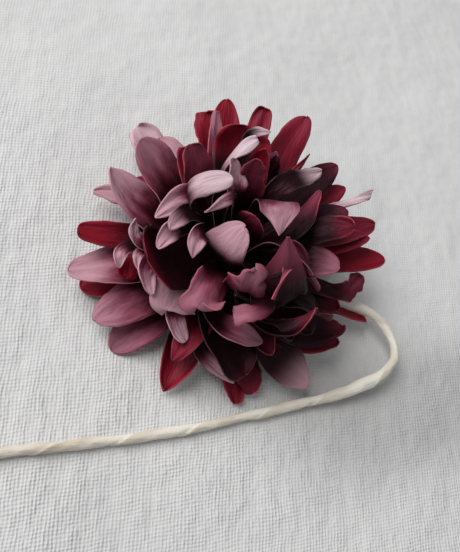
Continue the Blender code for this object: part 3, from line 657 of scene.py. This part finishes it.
def linen_floor(studio):
    """Pale linen laid flat: warp and weft threads, thick and thin along their length, and wrinkles.

    The height is cos(u) + cos(v), u and v counting the threads of the two sets in radians. Each set
    is moved a little by noise and is weighed by a noise drawn out along its own threads. The height
    and the wrinkles also lighten and darken the colour: painted light and shade of that relief along
    with the threads' own unevenness. One band is darkened with painted shade, as of a shallow fold,
    though the floor stays flat there, and the weave flattens towards one side.
    """
    g = Graph("linen_floor")
    place = g.on_object()
    wander = g.noise(place, 75.0, 4.0)
    wrinkle = g.noise(place, 18.0, 4.0)
    fibre = g.noise(place, 420.0, 4.0)
    rumple = g.noise(g.stretched(place, (210.0, 70.0, 1.0)), 1.0, 3.0)
    flatter, inward, outward = (
        g.distance(place, bearing(heading, 0.0))
        for heading in (FLATTER_HEADING, FOLD_SHADE_HEADING, FOLD_SHADE_HEADING - 90.0))
    turns = 2.0 * np.pi / studio.thread_pitch
    threads = []
    for heading in WEAVE_HEADINGS:
        across = g.distance(place, turns * bearing(heading, 0.0))
        along = g.distance(place, turns * bearing(heading + 90.0, 0.0))
        lie = g.node("ShaderNodeCombineXYZ", {},
                     {"X": across * 0.13, "Y": along * 0.07, "Z": heading})
        slub = g.noise(lie, 1.0, 3.0)
        threads.append((across + wander * 14.0).cosine() * slub * 1.4 + (slub - 0.5) * 3.6)
    depth = (wrinkle + 0.25) * (1.15 - flatter.over(-0.10, 0.12))
    raised = threads[0] * 1.1 + threads[1] * 0.9 + (fibre - 0.5) * 4.2
    weave = raised * (rumple * 1.4 + 0.25) * depth
    # Painted shade of one shallow fold in the linen; the floor itself stays flat.
    painted_fold_shade = abs(inward + FOLD_SHADE_DISTANCE).over(0.028, 0.008) * outward.over(0.010, 0.050)
    # The threads' relief and the wrinkles also set the colour: partly the linen's own uneven threads,
    # partly painted light and shade of that relief.
    level = weave * 0.036 + (wrinkle - 0.5) * 0.12 - painted_fold_shade * 0.25 + 1.045
    colour = g.mix(1.0, studio.floor_colour, g.grey(level), "MULTIPLY")
    creased = g.bump(wrinkle, 0.010, 0.5)
    rumpled = g.bump(rumple * depth, 0.0016, 0.6, creased)
    woven = g.bump(weave, 0.00013, 0.6, rumpled)
    shader = g.node("ShaderNodeBsdfPrincipled", {}, {
        "Base Color": colour, "Roughness": 0.9, "Normal": woven, "Specular IOR Level": 0.2,
    })
    return g.finish(shader)


# ---------------------------------------------------------------- surfaces


def grid_faces(rows, columns, ring=False, hoop=False):
    """Quads of a grid of points. A ring joins its last column to its first, a hoop its rows."""
    row = np.arange(rows if hoop else rows - 1)[:, None]
    column = np.arange(columns if ring else columns - 1)[None, :]
    after = (column + 1) % columns
    above = (row + 1) % rows
    corners = (row * columns + column, row * columns + after,
               above * columns + after, above * columns + column)
    return np.stack(np.broadcast_arrays(*corners), -1).reshape(-1, 4)


def ring_cap(start, columns, reverse=False):
    """Quads from one side of a ring of points to the other, which close the end of a tube."""
    side = np.arange(columns // 2 - 1)
    corners = (side, side + 1, columns - 2 - side, columns - 1 - side)
    return start + np.stack(corners[::-1] if reverse else corners, -1)


def make_piece(name, sheets, material_list, map_name, values):
    """One mesh object from several grids: each gives points (mm), faces, its map and its values."""
    points, faces, maps, start = [], [], [], 0
    columns = {key: [] for key in values}
    for sheet in sheets:
        points.append(sheet["points"].reshape(-1, 3))
        faces.append(sheet["faces"] + start)
        start += len(points[-1])
        maps.append(sheet["map"].reshape(-1, 2))
        for key in values:
            columns[key].append(np.broadcast_to(sheet[key], len(points[-1])))
    points = np.concatenate(points) * MM + AXIS
    faces = np.concatenate(faces)
    mesh = bpy.data.meshes.new(name)
    mesh.from_pydata(points.tolist(), [], faces.tolist())
    corner_maps = np.concatenate(maps)[faces.reshape(-1)].astype(np.float32)
    mesh.uv_layers.new(name=map_name).data.foreach_set("uv", corner_maps.reshape(-1))
    for key in values:
        layer = mesh.attributes.new(key, "FLOAT", "POINT")
        layer.data.foreach_set("value", np.concatenate(columns[key]).astype(np.float32))
    mesh.shade_smooth()
    for material in material_list:
        mesh.materials.append(material)
    piece = bpy.data.objects.new(name, mesh)
    bpy.context.scene.collection.objects.link(piece)
    return piece


def bearing(azimuth, lift):
    """The unit direction that points round to azimuth and climbs at lift, both in degrees."""
    round_to, climb = np.radians(azimuth), np.radians(lift)
    level = np.cos(climb)
    return np.array([np.cos(round_to) * level, np.sin(round_to) * level, np.sin(climb)])


def midrib(shape, seat, hub, lift, u):
    """The petal's middle line: a cubic curve (1-u)^3 a + 3u(1-u)^2 b + 3u^2(1-u) c + u^3 d.

    a is at the hub and d at the tip; b and c lie along the starting and ending directions, so the
    cloth leaves the hub at one angle and ends at the other. Gives the places, the directions along
    the line and the level direction across its start.
    """
    start = shape["azimuth"] + shape["lean"]
    lift = lift if shape["lift"] is None else shape["lift"]
    curl = CURL_HANDLE * max(0.0, shape["end_lift"] - 90.0) / 50.0
    pull = HANDLE + curl if shape["pull"] is None else shape["pull"]
    a = hub * bearing(start, 0.0) + np.array([0.0, 0.0, seat])
    d = shape["reach"] * bearing(shape["azimuth"], 0.0) + np.array([0.0, 0.0, shape["rise"]])
    chord = np.linalg.norm(d - a)
    b = a + chord * shape["push"] * bearing(start, lift)
    c = d - chord * pull * bearing(shape["azimuth"] + shape["yaw"], shape["end_lift"])
    w = 1 - u
    place = w**3 * a + 3 * w * w * u * b + 3 * w * u * u * c + u**3 * d
    way = w * w * (b - a) + 2 * w * u * (c - b) + u * u * (d - c)
    return place, unit(way), bearing(start + 90.0, 0.0)


def smooth(x):
    """0 below 0, 1 above 1, and smooth between them."""
    x = np.clip(x, 0.0, 1.0)
    return x * x * (3.0 - 2.0 * x)


def unit(vectors):
    return vectors / np.linalg.norm(vectors, axis=-1, keepdims=True)


def carried(along, first):
    """A direction square to each of the along directions, carried from one to the next."""
    across = np.empty_like(along)
    across[0] = unit(first - along[0] * (first @ along[0]))
    for k in range(1, len(along)):
        across[k] = unit(across[k - 1] - along[k] * (across[k - 1] @ along[k]))
    return across


def half_width(shape, u):
    """From the root out to the shoulder as a sine, then closed to the tip as a superellipse."""
    full = shape["width"] / 2
    grow = np.sin(np.minimum(u / shape["shoulder"], 1.0) * np.pi / 2) ** SWELL_POWER
    past = np.clip((u - shape["shoulder"]) / (1.0 - shape["shoulder"]), 0.0, 1.0)
    close = (1.0 - past ** shape["tip"]) ** (1.0 / shape["tip"])
    return (ROOT_HALF_WIDTH + (full - ROOT_HALF_WIDTH) * grow) * np.maximum(close, LEAST_WIDTH_SHARE)


def petal_sheet(shape, seat, hub, lift, rows, columns, rng):
    """A petal as a function of u, from hub to tip, and v, from edge to edge.

    Across its midrib the cloth is rolled on an arc of half-angle c = cup * g(u): the point at v
    lies w sin(cv)/c along the across direction and w (1 - cos(cv))/c above it, where w is the half
    width. The across direction is turned about the midrib by twist * s(u). The cloth is folded by
    crease * w (sqrt(v^2 + 0.02) - 0.14), sags by SAG * u sin(...) and waves by
    frill * u (0.25 + v^2) sin(...), most at its edges. The last part of the tip is bent by
    hook * t^2.
    """
    u = np.sin(np.linspace(0.0, 1.0, rows) * np.pi / 2)[:, None]
    v = np.linspace(-1.0, 1.0, columns)[None, :]
    phases = rng.uniform(0.0, 2 * np.pi, 5)
    seed = rng.uniform(0.0, 1.0)
    line, along, side = midrib(shape, seat, hub, lift, u)
    across = carried(along, side)
    over = np.cross(along, across)
    turn = np.radians(shape["twist"]) * smooth((u - 0.1) / 0.9)
    across, over = (np.cos(turn) * across + np.sin(turn) * over,
                    np.cos(turn) * over - np.sin(turn) * across)

    ragged = 1.0 + shape["ragged"] * smooth((u - RAGGED_FROM) / 0.3) * (
        np.sin(31 * u + phases[0]) + 0.6 * np.sin(67 * u + phases[1] + 2 * np.sign(v)))
    width = half_width(shape, u) * ragged
    rolled = ROOT_CUP_SHARE + (1.0 - ROOT_CUP_SHARE) * smooth(u / 0.55)
    bend = np.radians(shape["cup"]) * rolled + 1e-4
    sideways = width * np.sin(bend * v) / bend
    raised = width * (1.0 - np.cos(bend * v)) / bend
    raised = raised + shape["crease"] * width * (np.sqrt(v * v + 0.02) - 0.14)
    tip = np.clip((u - HOOK_FROM) / (1.0 - HOOK_FROM), 0.0, 1.0)
    raised = raised + shape["hook"] * tip * tip
    wave = (np.sin(2 * np.pi * FRILL_WAVES * u + phases[2] + 1.3 * v)
            + 0.5 * np.sin(17 * u + phases[3] - v) + 0.45 * np.sin(6 * u + phases[0] + 6 * v)
            + 0.22 * np.sin(29 * u + phases[1] + 3 * v))
    raised = raised + shape["frill"] * u * (0.25 + v * v) * wave
    raised = raised + SAG * u * np.sin(5 * u + phases[4])

    points = (line[:, None, :] + across[:, None, :] * sideways[..., None]
              + over[:, None, :] * raised[..., None])
    points[..., 2] = np.maximum(points[..., 2], FLOOR_GAP)
    return {
        "points": points,
        "faces": grid_faces(rows, columns),
        "map": np.stack(np.broadcast_arrays(v * 0.5 + 0.5, u), -1),
        "tone": shape["tone"],
        "painted_shade_reach": shape["painted_shade_reach"],
        "seed": seed,
    }


def hub_sheet(seat, hub):
    """The round's flat hub, a ring from the wire's hole out to the roots of the petals."""
    radius = np.linspace(HUB_BORE, hub + HUB_OVERLAP, HUB_ROWS)[:, None]
    turn = np.linspace(0.0, 2 * np.pi, HUB_COLUMNS, endpoint=False)[None, :]
    height = np.full_like(radius * turn, seat)
    points = np.stack([radius * np.cos(turn), radius * np.sin(turn), height], -1)
    return {
        "points": points,
        "faces": grid_faces(HUB_ROWS, HUB_COLUMNS, ring=True),
        "map": np.stack(np.broadcast_arrays(turn / 6.3, radius * 0.01), -1),
        "tone": 0.0,
        # The hub takes the root colour all over: painted shade under the petals.
        "painted_shade_reach": 1.0,
        "seed": 0.5,
    }


def smooth_route(points, steps):
    """A Catmull-Rom curve through the rows of points, with the same number of steps per span."""
    padded = np.vstack([2 * points[0] - points[1], points, 2 * points[-1] - points[-2]])
    a, b, c, d = (padded[k : k + len(points) - 1, None, :] for k in range(4))
    t = (np.arange(steps) / steps)[None, :, None]
    curve = (b + (c - a) * t / 2 + (2 * a - 5 * b + 4 * c - d) * t**2 / 2
             + (3 * b - a - 3 * c + d) * t**3 / 2)
    return np.vstack([curve.reshape(-1, points.shape[1]), points[-1:]])


def carried_frames(line):
    """Directions along the line, with two directions across it."""
    along = unit(np.gradient(line, axis=0))
    across = carried(along, np.cross(along[0], [0.0, 1.0, 0.0]))
    return along, across, np.cross(along, across)


def lap_profile(phase):
    """A turn of tape: it climbs slowly to its free edge and drops sharply to the turn below."""
    rest = phase % 1.0
    drop = smooth((rest - LAP_SHARE) / (1.0 - LAP_SHARE))
    return np.where(rest < LAP_SHARE, rest / LAP_SHARE, 1.0 - drop)


def tape_sheet(stem, rng):
    """The stem as a tube: radius r(s) + step * lap(turn + s / pitch), waved a little along it.

    s is the distance along the route and turn the place round it. Both ends are closed.
    """
    route = smooth_route(STEM_ROUTE, SPAN_STEPS)
    line, tape = route[:, :3], route[:, 3]
    distance = np.concatenate([[0.0], np.cumsum(np.linalg.norm(np.diff(line, axis=0), axis=1))])
    even = np.arange(0.0, distance[-1], TAPE_STEP)
    line = np.stack([np.interp(even, distance, line[:, k]) for k in range(3)], -1)
    tape = np.interp(even, distance, tape)
    along, across, over = carried_frames(line)

    # The folded end: a few more rows that close the tube
    fold = np.sin(np.linspace(0.0, 1.0, END_ROWS) * np.pi / 2)[1:]
    close = np.sqrt(np.maximum(1.0 - fold**2, 0.0)) * (1.0 - END_OPENING) + END_OPENING
    line = np.vstack([line[:1], line, line[-1] + along[-1] * (fold * END_DEPTH)[:, None]])
    tape = np.concatenate([[START_RADIUS], tape, tape[-1] * close])
    along, across, over = (np.vstack([rows[:1], rows, np.repeat(rows[-1:], END_ROWS - 1, axis=0)])
                           for rows in (along, across, over))
    travel = np.concatenate([[0.0], even, even[-1] + fold * END_DEPTH])

    turn = np.linspace(0.0, 1.0, TAPE_SIDES, endpoint=False)[None, :]
    waves = rng.uniform(0.0, 2 * np.pi, 6)
    pitch = stem.wrap_pitch / MM
    uneven = 0.10 * np.sin(travel / 3.1 + waves[0]) + 0.07 * np.sin(travel / 7.7 + waves[1])
    phase = turn + travel[:, None] / pitch + uneven[:, None]
    lap = lap_profile(phase)
    crimp = 0.025 * np.sin(2 * np.pi * 3 * turn + travel[:, None] * 1.1 + waves[2])
    crimp = crimp + 0.02 * np.sin(2 * np.pi * 5 * turn - travel[:, None] * 0.7 + waves[3])
    lumps = 0.07 * np.sin(travel / 4.3 + waves[4]) + 0.05 * np.sin(travel / 1.9 + waves[5])
    edge = stem.wrap_step / MM * (lap - 0.45) * (tape > OPEN_RADIUS)[:, None]
    radius = tape[:, None] * (1.02 + crimp + lumps[:, None]) + edge
    angle = 2 * np.pi * turn
    points = (line[:, None, :] + across[:, None, :] * (radius * np.cos(angle))[..., None]
              + over[:, None, :] * (radius * np.sin(angle))[..., None])
    points[..., 2] = np.maximum(points[..., 2], TAPE_FLOOR_GAP)
    return {
        "points": points,
        "faces": np.vstack([
            grid_faces(len(line), TAPE_SIDES, ring=True),
            ring_cap(0, TAPE_SIDES, reverse=True),
            ring_cap((len(line) - 1) * TAPE_SIDES, TAPE_SIDES),
        ]),
        "map": np.stack(np.broadcast_arrays(turn, travel[:, None] * MM), -1),
        "lap": lap.reshape(-1),
    }


def binding_sheet():
    """The wound collar: its outline turned about the wire, with a ridge for each turn of tape."""
    outline = np.vstack([BINDING_PROFILE, BINDING_PROFILE[:1]])
    share = np.linspace(0.0, 1.0, len(outline))
    fine = np.linspace(0.0, 1.0, BINDING_ROWS, endpoint=False)
    radius, height = (np.interp(fine, share, outline[:, k])[:, None] for k in (0, 1))
    turn = np.linspace(0.0, 1.0, BINDING_SIDES, endpoint=False)[None, :]
    lap = lap_profile(turn + height / BINDING_PITCH)
    wound = radius + BINDING_RIDGE * (lap - 0.6) * (radius > BINDING_BORE_SIDE)
    angle = 2 * np.pi * turn
    foot = BINDING_LOW.z / MM
    points = np.stack([wound * np.cos(angle), wound * np.sin(angle),
                       np.broadcast_to(foot + height, wound.shape)], -1)
    return {
        "points": points,
        "faces": grid_faces(BINDING_ROWS, BINDING_SIDES, ring=True, hoop=True),
        "map": np.stack(np.broadcast_arrays(turn, height * MM), -1),
        "lap": lap.reshape(-1),
    }


# ---------------------------------------------------------------- operators


class CORSAGE_OT_petal_rounds(bpy.types.Operator):
    """Cut the cloth rounds and stack them from the skirt to the crown"""

    bl_idname = "corsage.petal_rounds"
    bl_label = "Petal Rounds"

    def execute(self, context):
        cloth = context.scene.corsage_cloth
        faces = petal_cloth(cloth)
        edges = cut_edge(cloth)
        rng = np.random.default_rng(PETAL_SEED)
        for index, shapes in enumerate(ROUNDS):
            seat = LOWEST_SEAT + SEAT_PITCH * index
            hub = HUB_RADIUS - HUB_TAPER * index * index
            sheets = [hub_sheet(seat, hub)]
            for shape in shapes:
                sheets.append(petal_sheet(shape, seat, hub, LIFT_STEP * index,
                                          cloth.rows, cloth.columns, rng))
            piece = make_piece(f"cloth_round_{index + 1:02d}", sheets, [faces, edges],
                               "petal", ("tone", "painted_shade_reach", "seed"))
            thick = piece.modifiers.new("cloth", "SOLIDIFY")
            thick.thickness = cloth.thickness
            thick.offset = 0.0
            thick.material_offset_rim = 1
            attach(piece, "root")
            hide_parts(f"petal_round_{index + 1:02d}")
        return {"FINISHED"}


class CORSAGE_OT_stem(bpy.types.Operator):
    """Wind the tape round the stem and under the bloom, and finish the wire inside it"""

    bl_idname = "corsage.stem"
    bl_label = "Stem and Binding"

    def execute(self, context):
        stem = context.scene.corsage_stem
        tape = stem_tape(stem)
        rng = np.random.default_rng(TAPE_SEED)
        wound = make_piece("wound_stem_tape", [tape_sheet(stem, rng)], [tape], "tape", ("lap",))
        collar = make_piece("wound_binding", [binding_sheet()], [tape], "tape", ("lap",))
        for piece, node in ((wound, "stem_wrap"), (collar, "calyx_binding")):
            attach(piece, "root")
            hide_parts(node)
        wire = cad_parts["stem_wire"]
        wire.data.materials.clear()
        wire.data.materials.append(wire_steel())
        return {"FINISHED"}


class CORSAGE_OT_studio(bpy.types.Operator):
    """Set up the linen floor, the soft light and the camera"""

    bl_idname = "corsage.studio"
    bl_label = "Studio"

    def execute(self, context):
        studio = context.scene.corsage_studio
        scene = context.scene
        mesh = bpy.data.meshes.new("floor")
        corners = [(x * FLOOR_HALF, y * FLOOR_HALF, 0.0)
                   for x, y in ((-1, -1), (1, -1), (1, 1), (-1, 1))]
        mesh.from_pydata(corners, [], [(0, 1, 2, 3)])
        mesh.materials.append(linen_floor(studio))
        floor = bpy.data.objects.new("floor", mesh)
        scene.collection.objects.link(floor)

        centre = Vector(AXIS) + Vector((0.0, 0.0, BLOOM_MIDDLE * MM))
        for name, azimuth, elevation, distance, size, share, colour in LIGHTS:
            lamp = bpy.data.lights.new(name, "AREA")
            lamp.shape = "DISK"
            lamp.size = size
            lamp.energy = studio.key_power * share
            lamp.color = colour
            light = bpy.data.objects.new(name, lamp)
            way = Vector(bearing(azimuth, elevation))
            light.location = centre + way * distance
            light.rotation_euler = way.to_track_quat("Z", "Y").to_euler()
            scene.collection.objects.link(light)

        world = bpy.data.worlds.new("studio")
        world.use_nodes = True
        sky = world.node_tree.nodes["Background"]
        sky.inputs["Color"].default_value = SKY_COLOUR
        sky.inputs["Strength"].default_value = studio.sky_strength
        scene.world = world
        scene.view_settings.view_transform = "Standard"

        lens = bpy.data.cameras.new("camera")
        lens.lens = CAMERA_LENS
        camera = bpy.data.objects.new("camera", lens)
        ahead = Vector(bearing(CAMERA_HEADING, -CAMERA_DIP))
        level = ahead.cross(Vector((0.0, 0.0, 1.0))).normalized()
        rise = level.cross(ahead)
        roll = np.radians(CAMERA_ROLL)
        right = level * np.cos(roll) + rise * np.sin(roll)
        upward = right.cross(ahead)
        turn = Matrix((right, upward, -ahead)).transposed().to_4x4()
        camera.matrix_world = Matrix.Translation(Vector(AXIS) + Vector(CAMERA_PLACE) * MM) @ turn
        scene.collection.objects.link(camera)
        scene.camera = camera
        return {"FINISHED"}


class VIEW3D_PT_corsage(bpy.types.Panel):
    """The corsage's sizes, colours and steps"""

    bl_label = "Corsage"
    bl_idname = "VIEW3D_PT_corsage"
    bl_space_type = "VIEW_3D"
    bl_region_type = "UI"
    bl_category = "Corsage"

    def draw(self, context):
        for group, operator in (
            (context.scene.corsage_cloth, CORSAGE_OT_petal_rounds),
            (context.scene.corsage_stem, CORSAGE_OT_stem),
            (context.scene.corsage_studio, CORSAGE_OT_studio),
        ):
            box = self.layout.box()
            for name in group.bl_rna.properties.keys():
                if name not in ("rna_type", "name"):
                    box.prop(group, name)
            box.operator(operator.bl_idname)


CLASSES = (
    CorsageCloth,
    CorsageStem,
    CorsageStudio,
    CORSAGE_OT_petal_rounds,
    CORSAGE_OT_stem,
    CORSAGE_OT_studio,
    VIEW3D_PT_corsage,
)


def register():
    for entry in CLASSES:
        bpy.utils.register_class(entry)
    bpy.types.Scene.corsage_cloth = PointerProperty(type=CorsageCloth)
    bpy.types.Scene.corsage_stem = PointerProperty(type=CorsageStem)
    bpy.types.Scene.corsage_studio = PointerProperty(type=CorsageStudio)


def unregister():
    del bpy.types.Scene.corsage_studio
    del bpy.types.Scene.corsage_stem
    del bpy.types.Scene.corsage_cloth
    for entry in reversed(CLASSES):
        bpy.utils.unregister_class(entry)


def main():
    register()
    bpy.ops.corsage.petal_rounds()
    bpy.ops.corsage.stem()
    bpy.ops.corsage.studio()


if __name__ == "__main__":
    main()
